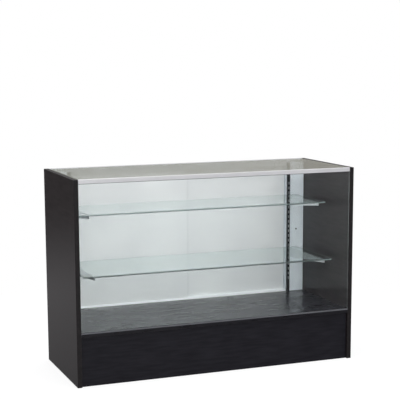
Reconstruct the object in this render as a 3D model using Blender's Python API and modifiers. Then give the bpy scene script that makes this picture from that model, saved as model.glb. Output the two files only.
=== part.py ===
"""Full view showcase: a counter display case with a glass top, a glass front,
two glass shelves on slotted standards and two sliding doors behind.

X runs along the case, from the left to the right of someone in front of it.
Y runs from the glass front to the sliding doors, and Z is up.
The origin is on the floor, under the middle of the case. Lengths are metres.
"""
import math

import bmesh
import bpy

# Case
CASE_WIDTH = 1.420
CASE_DEPTH = 0.552
CASE_HEIGHT = 0.965
BOARD = 0.022
BOARD_EASE = 0.0008
DECK_HEIGHT = 0.257
KICK_SETBACK = 0.013
SEAT_GAP = 0.0003
CUT_OVERRUN = 0.002
WELD = 0.00003

# Blocks and cleats inside the base
CLEAT = 0.019
CORNER_BLOCK_HEIGHT = 0.120
CORNER_BLOCK_RISE = 0.030

# Glass
GLASS = 0.006
GLASS_EASE = 0.0005

# Extruded frame round the top glass
RAIL_HEIGHT = 0.020
RAIL_WALL = 0.0018
RAIL_RADIUS = 0.0012
FRONT_GROOVE = 0.0072
LEDGE_REACH = 0.012
REAR_STRIP = 0.025
ANGLE_LEG = 0.028
ANGLE_HEIGHT = 0.009
ANGLE_WALL = 0.002

# Channel that holds the foot of the front glass, and the vinyl at both edges
CHANNEL_DEPTH = 0.006
SEAL_WALL = 0.0008
SEAL_SHOW = 0.001

# Rear posts
POST_WIDTH = 0.104
POST_DEPTH = 0.043
POST_WALL = 0.002
POST_RADIUS = 0.003

# Slotted standards
STANDARD_WIDTH = 0.0145
STANDARD_DEPTH = 0.011
STANDARD_INSET = 0.005
STANDARD_WALL = 0.0016
STANDARD_RADIUS = 0.0012
SLOT_PITCH = 0.0254
SLOT_WIDTH = 0.0038
SLOT_HEIGHT = 0.014
SLOT_RADIUS = 0.0005
SLOT_FOOT_MARGIN = 0.074
SLOT_HEAD_MARGIN = 0.100
LOWER_SLOT_SHARE = 0.30
UPPER_SLOT_SHARE = 0.85

# Shelves and their knife brackets
SHELF_END_GAP = 0.047
SHELF_SHIFT = 0.005
UPPER_SHELF_DEPTH = 0.335
LOWER_SHELF_DEPTH = 0.407
SHELF_BACK_GAP = 0.006
BRACKET_THICKNESS = 0.0026
BRACKET_RISE = 0.0108
BRACKET_ROOT = 0.052
BRACKET_TIP = 0.0115
BRACKET_TIP_RADIUS = 0.005
BRACKET_LIP = 0.0042
BRACKET_LIP_THICKNESS = 0.003
BRACKET_LIP_RADIUS = 0.0012
HOOK_NECK = 0.0065
HOOK_DROP = 0.006
HOOK_TONGUE = 0.003

# Sliding doors, their track and their pulls
DOOR = 0.016
DOOR_SIDE_GAP = 0.0006
DOOR_OVERLAP = 0.050
DOOR_END_GAP = 0.001
DOOR_LIFT = 0.010
TRACK_WALL = 0.002
FOOT_TRACK_LIP = 0.009
HEAD_TRACK_LIP = 0.020
PULL_WIDTH = 0.030
PULL_HEIGHT = 0.092
PULL_DEPTH = 0.011
PULL_WALL = 0.0014
PULL_FLANGE = 0.0035
PULL_FLANGE_THICKNESS = 0.0008
PULL_EDGE_DISTANCE = 0.060

# Screws
SCREW_HEAD_RADIUS = 0.004
SCREW_HEAD_HEIGHT = 0.0024
SCREW_HEAD_SHARES = ((0.0, 1.0), (0.35, 0.94), (0.65, 0.75), (0.88, 0.42), (1.0, 0.0))
SCREW_SHANK_RADIUS = 0.002
SCREW_SHANK_CLEARANCE = 0.0003
SCREW_LENGTH = 0.014
SCREW_POINT = 0.003
STANDARD_SCREW_LENGTH = 0.021
STANDARD_SCREW_MARGIN = 0.042
POST_SCREW_MARGIN = 0.0435
POST_SCREW_HEIGHT = 0.335

# Counts of facets
CORNER_STEPS = 3
PULL_STEPS = 8
SCREW_STEPS = 12

# Places worked out from the sizes
HALF_WIDTH = CASE_WIDTH / 2
INNER = HALF_WIDTH - BOARD
FRONT = -CASE_DEPTH / 2
REAR = CASE_DEPTH / 2
DECK_UNDERSIDE = DECK_HEIGHT - BOARD
GLASS_SLOT = GLASS + 2 * (SEAL_WALL + 2 * SEAT_GAP)
FRONT_STRIP = 2 * RAIL_WALL + GLASS_SLOT
LEDGE_TOP = RAIL_HEIGHT - GLASS - 2 * SEAT_GAP
RAIL_FOOT = CASE_HEIGHT - RAIL_HEIGHT
POST_FRONT = REAR - POST_DEPTH
POST_INNER = INNER - SEAT_GAP - POST_WIDTH
POST_FOOT = DECK_HEIGHT + SEAT_GAP
POST_HEAD = RAIL_FOOT - SEAT_GAP
STANDARD_X = POST_INNER + STANDARD_INSET + STANDARD_WIDTH / 2
STANDARD_BACK = POST_FRONT - SEAT_GAP
STANDARD_FRONT = STANDARD_BACK - STANDARD_DEPTH
SLOT_FIRST = POST_FOOT + SLOT_FOOT_MARGIN
SLOT_RUN = POST_HEAD - SLOT_HEAD_MARGIN - SLOT_FIRST
SLOT_COUNT = int(SLOT_RUN / SLOT_PITCH) + 1
OPENING = POST_INNER - DOOR_END_GAP
DOOR_WIDTH = OPENING + DOOR_OVERLAP / 2
TRACK_GROOVE = DOOR + 2 * DOOR_SIDE_GAP
FOOT_TRACK_FLOOR = POST_FOOT + TRACK_WALL
HEAD_TRACK_ROOF = POST_HEAD - TRACK_WALL
DOOR_FOOT = FOOT_TRACK_FLOOR + SEAT_GAP
DOOR_HEAD = HEAD_TRACK_ROOF - DOOR_LIFT

# Turns that stand an outline up before it is given its length
ALONG_X = (math.pi / 2, 0.0, math.pi / 2)
ALONG_Y = (math.pi / 2, 0.0, 0.0)
ALONG_Z = (0.0, 0.0, 0.0)

SIDES = (("left", -1), ("right", 1))


def clear_scene():
    """Take away whatever the file holds, and make the two collections."""
    for old in list(bpy.data.objects):
        bpy.data.objects.remove(old, do_unlink=True)
    collections = []
    for name in ("full_view_showcase", "cutters"):
        collection = bpy.data.collections.new(name)
        bpy.context.scene.collection.children.link(collection)
        collections.append(collection)
    return collections


def finish(name, colour, roughness, metallic, alpha=1.0):
    """A plain surface: colour, roughness and whether it is metal."""
    material = bpy.data.materials.new(name)
    material.use_nodes = True
    shader = material.node_tree.nodes["Principled BSDF"]
    shader.inputs["Base Color"].default_value = (*colour, 1.0)
    shader.inputs["Roughness"].default_value = roughness
    shader.inputs["Metallic"].default_value = metallic
    shader.inputs["Alpha"].default_value = alpha
    return material


PARTS, CUTTERS = clear_scene()
BLACK_LAMINATE = finish("black_laminate", (0.022, 0.020, 0.023), 0.42, 0.0)
RAW_BOARD = finish("raw_board", (0.46, 0.34, 0.21), 0.85, 0.0)
WHITE_MELAMINE = finish("white_melamine", (0.80, 0.81, 0.82), 0.45, 0.0)
WHITE_PLASTIC = finish("white_plastic", (0.78, 0.78, 0.77), 0.35, 0.0)
CLEAR_ALUMINIUM = finish("clear_aluminium", (0.78, 0.77, 0.77), 0.34, 1.0)
POST_ALUMINIUM = finish("post_aluminium", (0.60, 0.62, 0.64), 0.48, 0.9)
BLACK_METAL = finish("black_metal", (0.020, 0.020, 0.022), 0.50, 0.0)
BLACK_VINYL = finish("black_vinyl", (0.015, 0.015, 0.016), 0.65, 0.0)
ZINC_STEEL = finish("zinc_steel", (0.62, 0.63, 0.64), 0.28, 1.0)
CLEAR_GLASS = finish("clear_glass", (0.86, 0.94, 0.91), 0.04, 0.0, 0.30)


def place(name, mesh, material, location=(0.0, 0.0, 0.0), turn=ALONG_Z):
    """Put a mesh into the case as a named piece."""
    piece = bpy.data.objects.new(name, mesh)
    piece.location = location
    piece.rotation_euler = turn
    mesh.materials.clear()
    mesh.materials.append(material)
    PARTS.objects.link(piece)
    return piece


def as_cutter(piece):
    """Move a piece to the cutters, where it only shapes others."""
    PARTS.objects.unlink(piece)
    CUTTERS.objects.link(piece)
    piece.hide_render = True
    piece.display_type = "WIRE"
    return piece


def shape_by(piece, cutter, operation="DIFFERENCE"):
    """Cut a piece with a cutter, or join the cutter's shape to it."""
    modifier = piece.modifiers.new(cutter.name, "BOOLEAN")
    modifier.operation = operation
    modifier.solver = "EXACT"
    modifier.object = cutter


def ease_edges(piece, width):
    """Take the sharpness off every edge, as banding or polishing does."""
    modifier = piece.modifiers.new("eased_edges", "BEVEL")
    modifier.width = width
    modifier.segments = 1
    modifier.limit_method = "ANGLE"


def box(name, low, high, material, ease=0.0):
    """A board, block or pane between two opposite corners."""
    shape = bmesh.new()
    bmesh.ops.create_cube(shape, size=1.0)
    size = [b - a for a, b in zip(low, high)]
    bmesh.ops.scale(shape, vec=size, verts=shape.verts)
    mesh = bpy.data.meshes.new(name)
    shape.to_mesh(mesh)
    shape.free()
    middle = [(a + b) / 2 for a, b in zip(low, high)]
    piece = place(name, mesh, material, middle)
    if ease:
        ease_edges(piece, ease)
    return piece


def rounded(corners, steps=CORNER_STEPS):
    """An outline from corners (u, v, radius), its rounded corners as arcs."""
    outline = []
    for index, (u, v, radius) in enumerate(corners):
        before = corners[index - 1]
        after = corners[(index + 1) % len(corners)]
        if radius == 0:
            outline.append((u, v))
            continue
        arrive = math.atan2(v - before[1], u - before[0])
        leave = math.atan2(after[1] - v, after[0] - u)
        bend = math.remainder(leave - arrive, 2 * math.pi)
        side = math.copysign(1.0, bend)
        run = radius * math.tan(abs(bend) / 2)
        centre_u = u - run * math.cos(arrive) - side * radius * math.sin(arrive)
        centre_v = v - run * math.sin(arrive) + side * radius * math.cos(arrive)
        for step in range(steps + 1):
            angle = arrive + bend * step / steps - side * math.pi / 2
            outline.append((centre_u + radius * math.cos(angle), centre_v + radius * math.sin(angle)))
    return outline


def extrusion(name, outlines, length, middle, turn, material):
    """A length of one section: its outline, and the outlines of its holes."""
    curve = bpy.data.curves.new(name, "CURVE")
    curve.dimensions = "2D"
    curve.fill_mode = "BOTH"
    curve.extrude = length / 2
    for outline in outlines:
        spline = curve.splines.new("POLY")
        spline.points.add(len(outline) - 1)
        for point, (u, v) in zip(spline.points, outline):
            point.co = (u, v, 0.0, 1.0)
        spline.use_cyclic_u = True
    drawn = bpy.data.objects.new(name + "_outline", curve)
    PARTS.objects.link(drawn)
    bpy.context.view_layer.update()
    evaluated = drawn.evaluated_get(bpy.context.evaluated_depsgraph_get())
    mesh = bpy.data.meshes.new_from_object(evaluated)
    mesh.name = name
    bpy.data.objects.remove(drawn, do_unlink=True)
    shape = bmesh.new()
    shape.from_mesh(mesh)
    bmesh.ops.remove_doubles(shape, verts=shape.verts, dist=WELD)
    bmesh.ops.recalc_face_normals(shape, faces=shape.faces)
    shape.to_mesh(mesh)
    shape.free()
    return place(name, mesh, material, middle, turn)


def rectangle(u_low, v_low, u_high, v_high, radius=0.0):
    """The four corners of an upright rectangle."""
    return [(u_low, v_low, radius), (u_high, v_low, radius), (u_high, v_high, radius), (u_low, v_high, radius)]


def end_panels():
    """The two full-height boards that stand on the floor and carry the rest."""
    for side, sign in SIDES:
        near, far = sorted((sign * INNER, sign * HALF_WIDTH))
        low = (near, FRONT, 0.0)
        high = (far, REAR, CASE_HEIGHT)
        box(side + "_end_panel", low, high, BLACK_LAMINATE, BOARD_EASE)


def deck():
    """The floor of the display, with a rabbet in front for the glass channel."""
    rabbet_y = FRONT + FRONT_STRIP + SEAT_GAP
    rabbet_z = DECK_HEIGHT - CHANNEL_DEPTH - SEAT_GAP
    corners = [
        (FRONT, DECK_UNDERSIDE, BOARD_EASE),
        (REAR, DECK_UNDERSIDE, BOARD_EASE),
        (REAR, DECK_HEIGHT, BOARD_EASE),
        (rabbet_y, DECK_HEIGHT, 0),
        (rabbet_y, rabbet_z, 0),
        (FRONT, rabbet_z, 0),
    ]
    length = 2 * (INNER - SEAT_GAP)
    extrusion("deck", [rounded(corners, 1)], length, (0.0, 0.0, 0.0), ALONG_X, BLACK_LAMINATE)


def base():
    """The set-back kick boards and what stiffens the deck between them."""
    half = INNER - SEAT_GAP
    head = DECK_UNDERSIDE - SEAT_GAP
    front_face = FRONT + KICK_SETBACK
    rear_face = REAR - KICK_SETBACK
    inside_front = front_face + BOARD + SEAT_GAP
    inside_rear = rear_face - BOARD - SEAT_GAP
    box("front_base_panel", (-half, front_face, 0.0), (half, front_face + BOARD, head), BLACK_LAMINATE, BOARD_EASE)
    box("rear_base_panel", (-half, rear_face - BOARD, 0.0), (half, rear_face, head), BLACK_LAMINATE, BOARD_EASE)
    box("deck_support", (-BOARD / 2, inside_front, 0.0), (BOARD / 2, inside_rear, head), RAW_BOARD)
    for side, sign in SIDES:
        near, far = sorted((sign * (half - CLEAT), sign * half))
        low = (near, inside_front, head - CLEAT)
        box(side + "_deck_cleat", low, (far, inside_rear, head), RAW_BOARD)
        foot = CORNER_BLOCK_RISE
        for end, y in (("front", inside_front), ("rear", inside_rear - CLEAT)):
            low = (near, y, foot)
            high = (far, y + CLEAT, foot + CORNER_BLOCK_HEIGHT)
            box(end + "_" + side + "_corner_block", low, high, RAW_BOARD)


def front_rail():
    """The extrusion along the top front edge: groove, chamber and glass ledge."""
    ledge_end = FRONT_STRIP + LEDGE_REACH
    ledge_under = LEDGE_TOP - RAIL_WALL
    glass_back = RAIL_WALL + GLASS_SLOT
    outer = [
        (0.0, 0.0, 0),
        (RAIL_WALL, 0.0, 0),
        (RAIL_WALL, FRONT_GROOVE, 0),
        (glass_back, FRONT_GROOVE, 0),
        (glass_back, 0.0, 0),
        (FRONT_STRIP, 0.0, 0),
        (FRONT_STRIP, ledge_under, 0),
        (ledge_end, ledge_under, 0),
        (ledge_end, LEDGE_TOP, 0),
        (FRONT_STRIP, LEDGE_TOP, 0),
        (FRONT_STRIP, RAIL_HEIGHT, 0),
        (0.0, RAIL_HEIGHT, RAIL_RADIUS),
    ]
    chamber = rectangle(RAIL_WALL, FRONT_GROOVE + RAIL_WALL, glass_back, RAIL_HEIGHT - RAIL_WALL)
    length = 2 * (INNER - SEAT_GAP)
    outlines = [rounded(outer), rounded(chamber)]
    extrusion("front_top_rail", outlines, length, (0.0, FRONT, RAIL_FOOT), ALONG_X, CLEAR_ALUMINIUM)


def rear_rail():
    """The wider rail on top of the posts, which the door track hangs from."""
    step = POST_DEPTH - REAR_STRIP
    outer = [
        (0.0, 0.0, 0),
        (POST_DEPTH, 0.0, 0),
        (POST_DEPTH, RAIL_HEIGHT, RAIL_RADIUS),
        (step, RAIL_HEIGHT, 0),
        (step, LEDGE_TOP, 0),
        (0.0, LEDGE_TOP, 0),
    ]
    tall = rectangle(step + RAIL_WALL, RAIL_WALL, POST_DEPTH - RAIL_WALL, RAIL_HEIGHT - RAIL_WALL)
    low = rectangle(RAIL_WALL, RAIL_WALL, step, LEDGE_TOP - RAIL_WALL)
    length = 2 * (INNER - SEAT_GAP)
    outlines = [rounded(outer), rounded(tall), rounded(low)]
    extrusion("rear_top_rail", outlines, length, (0.0, POST_FRONT, RAIL_FOOT), ALONG_X, CLEAR_ALUMINIUM)


def end_rails():
    """The black angles on the end panels: the ends of the top glass lie on them."""
    near = FRONT + FRONT_STRIP + LEDGE_REACH + SEAT_GAP
    far = POST_FRONT - SEAT_GAP
    for side, sign in SIDES:
        outer = [
            (0.0, 0.0, 0),
            (-sign * RAIL_WALL, 0.0, 0),
            (-sign * RAIL_WALL, LEDGE_TOP - RAIL_WALL, 0),
            (-sign * LEDGE_REACH, LEDGE_TOP - RAIL_WALL, 0),
            (-sign * LEDGE_REACH, LEDGE_TOP, 0),
            (0.0, LEDGE_TOP, 0),
        ]
        middle = (sign * (INNER - SEAT_GAP), (near + far) / 2, RAIL_FOOT)
        extrusion(side + "_top_rail", [rounded(outer)], far - near, middle, ALONG_Y, BLACK_METAL)


def corner_angles():
    """The four small steel angles that hold the rails square, under the ledges."""
    under_ledge = RAIL_FOOT + LEDGE_TOP - RAIL_WALL - SEAT_GAP
    middle_z = under_ledge - ANGLE_HEIGHT / 2
    ends = (("front", FRONT + FRONT_STRIP + SEAT_GAP, 1), ("rear", POST_FRONT - SEAT_GAP, -1))
    for end, y, inward in ends:
        for side, sign in SIDES:
            corner_x = sign * (INNER - RAIL_WALL - 2 * SEAT_GAP)
            leg_u = -sign * ANGLE_LEG
            wall_u = -sign * ANGLE_WALL
            outer = [
                (0.0, 0.0, 0),
                (leg_u, 0.0, 0),
                (leg_u, inward * ANGLE_WALL, 0),
                (wall_u, inward * ANGLE_WALL, 0),
                (wall_u, inward * ANGLE_LEG, 0),
                (0.0, inward * ANGLE_LEG, 0),
            ]
            name = end + "_" + side + "_corner_angle"
            extrusion(name, [rounded(outer)], ANGLE_HEIGHT, (corner_x, y, middle_z), ALONG_Z, ZINC_STEEL)


def seal_outline(height):
    """A U of vinyl round one edge of the front glass, drawn with its legs up."""
    width = GLASS_SLOT - 2 * SEAT_GAP
    return [
        (0.0, 0.0),
        (width, 0.0),
        (width, height),
        (width - SEAL_WALL, height),
        (width - SEAL_WALL, SEAL_WALL),
        (SEAL_WALL, SEAL_WALL),
        (SEAL_WALL, height),
        (0.0, height),
    ]


def panes():
    """The glass top, which lies on four ledges, and the glass front with its channel."""
    top = CASE_HEIGHT - SEAT_GAP
    half = INNER - SEAT_GAP
    low = (-half, FRONT + FRONT_STRIP + SEAT_GAP, top - GLASS)
    high = (half, REAR - REAR_STRIP - SEAT_GAP, top)
    box("top_glass", low, high, CLEAR_GLASS, GLASS_EASE)

    channel_foot = DECK_HEIGHT - CHANNEL_DEPTH
    floor = RAIL_WALL
    glass_back = RAIL_WALL + GLASS_SLOT
    outer = [
        (0.0, 0.0, 0),
        (FRONT_STRIP, 0.0, 0),
        (FRONT_STRIP, CHANNEL_DEPTH, 0),
        (glass_back, CHANNEL_DEPTH, 0),
        (glass_back, floor, 0),
        (RAIL_WALL, floor, 0),
        (RAIL_WALL, CHANNEL_DEPTH, 0),
        (0.0, CHANNEL_DEPTH, RAIL_RADIUS),
    ]
    length = 2 * (INNER - SEAT_GAP)
    extrusion("front_glass_channel", [rounded(outer)], length, (0.0, FRONT, channel_foot), ALONG_X, BLACK_METAL)

    rail_roof = RAIL_FOOT + FRONT_GROOVE
    channel_floor = channel_foot + floor
    seal_front = FRONT + RAIL_WALL + SEAT_GAP
    head_seal = [(u, -v) for u, v in seal_outline(FRONT_GROOVE - SEAT_GAP + SEAL_SHOW)]
    head_place = (0.0, seal_front, rail_roof - SEAT_GAP)
    extrusion("front_glass_head_seal", [head_seal], length, head_place, ALONG_X, BLACK_VINYL)
    foot_seal = seal_outline(CHANNEL_DEPTH - floor - SEAT_GAP + SEAL_SHOW)
    foot_place = (0.0, seal_front, channel_floor + SEAT_GAP)
    extrusion("front_glass_foot_seal", [foot_seal], length, foot_place, ALONG_X, BLACK_VINYL)

    face = seal_front + SEAL_WALL + SEAT_GAP
    edge = SEAL_WALL + 2 * SEAT_GAP
    low = (-INNER + SEAT_GAP, face, channel_floor + edge)
    high = (INNER - SEAT_GAP, face + GLASS, rail_roof - edge)
    box("front_glass", low, high, CLEAR_GLASS, GLASS_EASE)


def screw_body(name, length, location, material):
    """A round-headed screw along Y, turned from its half profile."""
    profile = [(SCREW_HEAD_RADIUS * out, SCREW_HEAD_HEIGHT * up) for out, up in SCREW_HEAD_SHARES]
    profile += [
        (SCREW_SHANK_RADIUS, 0.0),
        (SCREW_SHANK_RADIUS, SCREW_POINT - length),
        (0.0, -length),
    ]
    mesh = bpy.data.meshes.new(name)
    edges = [(i, i + 1) for i in range(len(profile) - 1)]
    mesh.from_pydata([(r, 0.0, z) for r, z in profile], edges, [])
    piece = place(name, mesh, material, location, ALONG_Y)
    turned = piece.modifiers.new("turned", "SCREW")
    turned.steps = SCREW_STEPS
    turned.render_steps = SCREW_STEPS
    turned.use_merge_vertices = True
    turned.merge_threshold = WELD
    turned.use_smooth_shade = True
    return piece


def screw_hole(name, location, depth, piece):
    """Drill a clearance hole along Y through a wall of a piece."""
    radius = SCREW_SHANK_RADIUS + SCREW_SHANK_CLEARANCE
    shape = bmesh.new()
    bmesh.ops.create_cone(
        shape, cap_ends=True, segments=SCREW_STEPS, radius1=radius, radius2=radius, depth=depth)
    mesh = bpy.data.meshes.new(name)
    shape.to_mesh(mesh)
    shape.free()
    drill = as_cutter(place(name, mesh, piece.data.materials[0], location, ALONG_Y))
    shape_by(piece, drill)


def posts():
    """The hollow rear posts, each with a screw near half height."""
    middle_y = POST_FRONT + POST_DEPTH / 2
    middle_z = (POST_FOOT + POST_HEAD) / 2
    half_width = POST_WIDTH / 2
    half_depth = POST_DEPTH / 2
    wall = POST_WALL
    outer = rectangle(-half_width, -half_depth, half_width, half_depth, POST_RADIUS)
    hollow = rectangle(wall - half_width, wall - half_depth, half_width - wall, half_depth - wall)
    built = {}
    for side, sign in SIDES:
        middle = (sign * (POST_INNER + half_width), middle_y, middle_z)
        outlines = [rounded(outer), rounded(hollow)]
        post = extrusion(side + "_post", outlines, POST_HEAD - POST_FOOT, middle, ALONG_Z, POST_ALUMINIUM)
        seat = (sign * (INNER - POST_SCREW_MARGIN), POST_FRONT, POST_FOOT + POST_SCREW_HEIGHT)
        screw_hole(side + "_post_drill", seat, 2 * (wall + CUT_OVERRUN), post)
        head = (seat[0], POST_FRONT - SEAT_GAP, seat[2])
        screw_body(side + "_post_screw", SCREW_LENGTH, head, ZINC_STEEL)
        built[side] = post
    return built


def slot_cutter(name, x):
    """One rounded slot, repeated up the standard at its pitch."""
    half_width = SLOT_WIDTH / 2
    half_height = SLOT_HEIGHT / 2
    outline = rectangle(-half_width, -half_height, half_width, half_height, SLOT_RADIUS)
    depth = STANDARD_WALL + 2 * CUT_OVERRUN
    middle = (x, STANDARD_FRONT + STANDARD_WALL / 2, SLOT_FIRST)
    slot = extrusion(name, [rounded(outline, 1)], depth, middle, ALONG_Y, BLACK_METAL)
    column = slot.modifiers.new("pitch", "ARRAY")
    column.count = SLOT_COUNT
    column.use_relative_offset = False
    column.use_constant_offset = True
    column.constant_offset_displace = (0.0, SLOT_PITCH, 0.0)
    return as_cutter(slot)


def standards(built_posts):
    """The black slotted channels screwed near the inner edge of each post."""
    half = STANDARD_WIDTH / 2
    wall = STANDARD_WALL
    channel = [
        (-half, 0.0, STANDARD_RADIUS),
        (half, 0.0, STANDARD_RADIUS),
        (half, STANDARD_DEPTH, 0),
        (half - wall, STANDARD_DEPTH, 0),
        (half - wall, wall, 0),
        (wall - half, wall, 0),
        (wall - half, STANDARD_DEPTH, 0),
        (-half, STANDARD_DEPTH, 0),
    ]
    height = POST_HEAD - POST_FOOT
    for side, sign in SIDES:
        x = sign * STANDARD_X
        middle = (x, STANDARD_FRONT, (POST_FOOT + POST_HEAD) / 2)
        standard = extrusion(side + "_standard", [rounded(channel)], height, middle, ALONG_Z, BLACK_METAL)
        shape_by(standard, slot_cutter(side + "_slots", x))
        heights = (("lower", POST_FOOT + STANDARD_SCREW_MARGIN), ("upper", POST_HEAD - STANDARD_SCREW_MARGIN))
        for level, z in heights:
            name = side + "_standard_screw_" + level
            web_drill = 2 * (wall + CUT_OVERRUN)
            screw_hole(name + "_web_drill", (x, STANDARD_FRONT, z), web_drill, standard)
            post_drill = 2 * (POST_WALL + CUT_OVERRUN)
            screw_hole(name + "_post_drill", (x, POST_FRONT, z), post_drill, built_posts[side])
            screw_body(name, STANDARD_SCREW_LENGTH, (x, STANDARD_FRONT - SEAT_GAP, z), BLACK_METAL)


def bracket_outline(shelf_depth):
    """The side view of a knife bracket: forwards is +u, its top edge is v = 0."""
    reach = SHELF_BACK_GAP + shelf_depth + SEAT_GAP
    slot_foot = -BRACKET_RISE - SLOT_HEIGHT / 2 + SEAT_GAP
    behind = -(STANDARD_WALL + SEAT_GAP)
    face = SEAT_GAP
    corners = [
        (face, 0.0, 0),
        (reach, 0.0, 0),
        (reach, BRACKET_LIP, BRACKET_LIP_RADIUS),
        (reach + BRACKET_LIP_THICKNESS, BRACKET_LIP, BRACKET_LIP_RADIUS),
        (reach + BRACKET_LIP_THICKNESS, -BRACKET_TIP, BRACKET_TIP_RADIUS),
        (face, -BRACKET_ROOT, 0),
    ]
    for neck_foot in (slot_foot - SLOT_PITCH, slot_foot):
        corners += [
            (face, neck_foot, 0),
            (behind, neck_foot, 0),
            (behind, neck_foot - HOOK_DROP, 0),
            (behind - HOOK_TONGUE, neck_foot - HOOK_DROP, 0),
            (behind - HOOK_TONGUE, neck_foot + HOOK_NECK, 0),
            (face, neck_foot + HOOK_NECK, 0),
        ]
    return rounded(corners)


def shelves():
    """Two loose panes, a little off to the left, on brackets hooked into the standards."""
    levels = (
        ("lower", LOWER_SLOT_SHARE, LOWER_SHELF_DEPTH),
        ("upper", UPPER_SLOT_SHARE, UPPER_SHELF_DEPTH),
    )
    for level, share, depth in levels:
        slot = SLOT_FIRST + round(share * (SLOT_COUNT - 1)) * SLOT_PITCH
        top_edge = slot + BRACKET_RISE
        outline = [(-u, v) for u, v in bracket_outline(depth)]
        for side, sign in SIDES:
            middle = (sign * STANDARD_X, STANDARD_FRONT, top_edge)
            name = level + "_" + side + "_bracket"
            extrusion(name, [outline], BRACKET_THICKNESS, middle, ALONG_X, ZINC_STEEL)
        rear = STANDARD_FRONT - SHELF_BACK_GAP
        foot = top_edge + SEAT_GAP
        half = INNER - SHELF_END_GAP
        low = (-half - SHELF_SHIFT, rear - depth, foot)
        high = (half - SHELF_SHIFT, rear, foot + GLASS)
        box(level + "_shelf_glass", low, high, CLEAR_GLASS, GLASS_EASE)


def track_outline(lip):
    """Two grooves between three lips, on a flat web, drawn with its lips up."""
    second = TRACK_WALL + TRACK_GROOVE
    third = second + TRACK_WALL + TRACK_GROOVE
    top = TRACK_WALL + lip
    floor = TRACK_WALL
    return [
        (0.0, 0.0),
        (third + TRACK_WALL, 0.0),
        (third + TRACK_WALL, top),
        (third, top),
        (third, floor),
        (second + TRACK_WALL, floor),
        (second + TRACK_WALL, top),
        (second, top),
        (second, floor),
        (TRACK_WALL, floor),
        (TRACK_WALL, top),
        (0.0, top),
    ]


def tracks():
    """The shallow track on the deck and the deep one under the rear rail."""
    length = 2 * (POST_INNER - SEAT_GAP)
    foot_track = track_outline(FOOT_TRACK_LIP)
    head_track = [(u, -v) for u, v in track_outline(HEAD_TRACK_LIP)]
    foot_place = (0.0, POST_FRONT, POST_FOOT)
    head_place = (0.0, POST_FRONT, POST_HEAD)
    extrusion("bottom_door_track", [foot_track], length, foot_place, ALONG_X, CLEAR_ALUMINIUM)
    extrusion("top_door_track", [head_track], length, head_place, ALONG_X, CLEAR_ALUMINIUM)


def stadium(width, height):
    """An upright slot shape with round ends."""
    radius = width / 2
    straight = height / 2 - radius
    points = []
    for end, start in ((1, 0.0), (-1, math.pi)):
        for step in range(PULL_STEPS + 1):
            angle = start + math.pi * step / PULL_STEPS
            points.append((radius * math.cos(angle), end * straight + radius * math.sin(angle)))
    return points


def finger_pull(name, x, face, z, door):
    """A recessed cup let into the rear face of a door, with a thin rim."""
    outer_width = PULL_WIDTH + 2 * PULL_WALL
    outer_height = PULL_HEIGHT + 2 * PULL_WALL
    pocket = stadium(outer_width + 2 * SEAT_GAP, outer_height + 2 * SEAT_GAP)
    pocket_depth = PULL_DEPTH + SEAT_GAP
    middle = (x, face - (pocket_depth - CUT_OVERRUN) / 2, z)
    hollow = extrusion(name + "_pocket", [pocket], pocket_depth + CUT_OVERRUN, middle, ALONG_Y, WHITE_PLASTIC)
    shape_by(door, as_cutter(hollow))

    seat = face + SEAT_GAP
    cup_run = PULL_DEPTH + PULL_FLANGE_THICKNESS
    cup = stadium(outer_width, outer_height)
    middle = (x, seat - PULL_DEPTH + cup_run / 2, z)
    pull = extrusion(name, [cup], cup_run, middle, ALONG_Y, WHITE_PLASTIC)
    rim = stadium(outer_width + 2 * PULL_FLANGE, outer_height + 2 * PULL_FLANGE)
    middle = (x, seat + PULL_FLANGE_THICKNESS / 2, z)
    flange = extrusion(name + "_rim", [rim], PULL_FLANGE_THICKNESS, middle, ALONG_Y, WHITE_PLASTIC)
    shape_by(pull, as_cutter(flange), "UNION")
    inside = stadium(PULL_WIDTH, PULL_HEIGHT)
    floor = seat - PULL_DEPTH + PULL_WALL
    run = cup_run - PULL_WALL + CUT_OVERRUN
    hole = extrusion(name + "_inside", [inside], run, (x, floor + run / 2, z), ALONG_Y, WHITE_PLASTIC)
    shape_by(pull, as_cutter(hole))
    bpy.context.view_layer.update()
    pull.parent = door
    pull.matrix_parent_inverse = door.matrix_world.inverted()


def doors():
    """Two sliding boards: the left one in the front groove, the right one behind."""
    middle_z = (DOOR_FOOT + DOOR_HEAD) / 2
    front_face = POST_FRONT + TRACK_WALL + DOOR_SIDE_GAP
    rear_shift = TRACK_GROOVE + TRACK_WALL
    for side, sign, shift in (("left", -1, 0.0), ("right", 1, rear_shift)):
        near, far = sorted((sign * OPENING, sign * (OPENING - DOOR_WIDTH)))
        face = front_face + shift
        low = (near, face, DOOR_FOOT)
        door = box(side + "_door", low, (far, face + DOOR, DOOR_HEAD), WHITE_MELAMINE)
        pull_x = sign * (OPENING - PULL_EDGE_DISTANCE)
        finger_pull(side + "_door_pull", pull_x, face + DOOR, middle_z, door)


def showcase():
    """Build every piece of the case."""
    end_panels()
    deck()
    base()
    front_rail()
    rear_rail()
    end_rails()
    corner_angles()
    panes()
    standards(posts())
    shelves()
    tracks()
    doors()
    print("slots in each standard:", SLOT_COUNT)
    print("door travel:", round(2 * OPENING - DOOR_WIDTH, 4))


showcase()
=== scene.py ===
# %% [markdown]
# # A full view showcase
# A shop counter case: dark laminate panels, a glass top and front in a thin
# aluminium frame, two glass shelves on slotted standards, and white sliding
# doors behind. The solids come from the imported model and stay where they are.
# This script gives every one of them its finish, puts finer screws where the
# model has plain ones, and sets up the floor, the light and the camera.

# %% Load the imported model
import math

import bmesh
import bpy
from mathutils import Matrix, Vector


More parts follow.
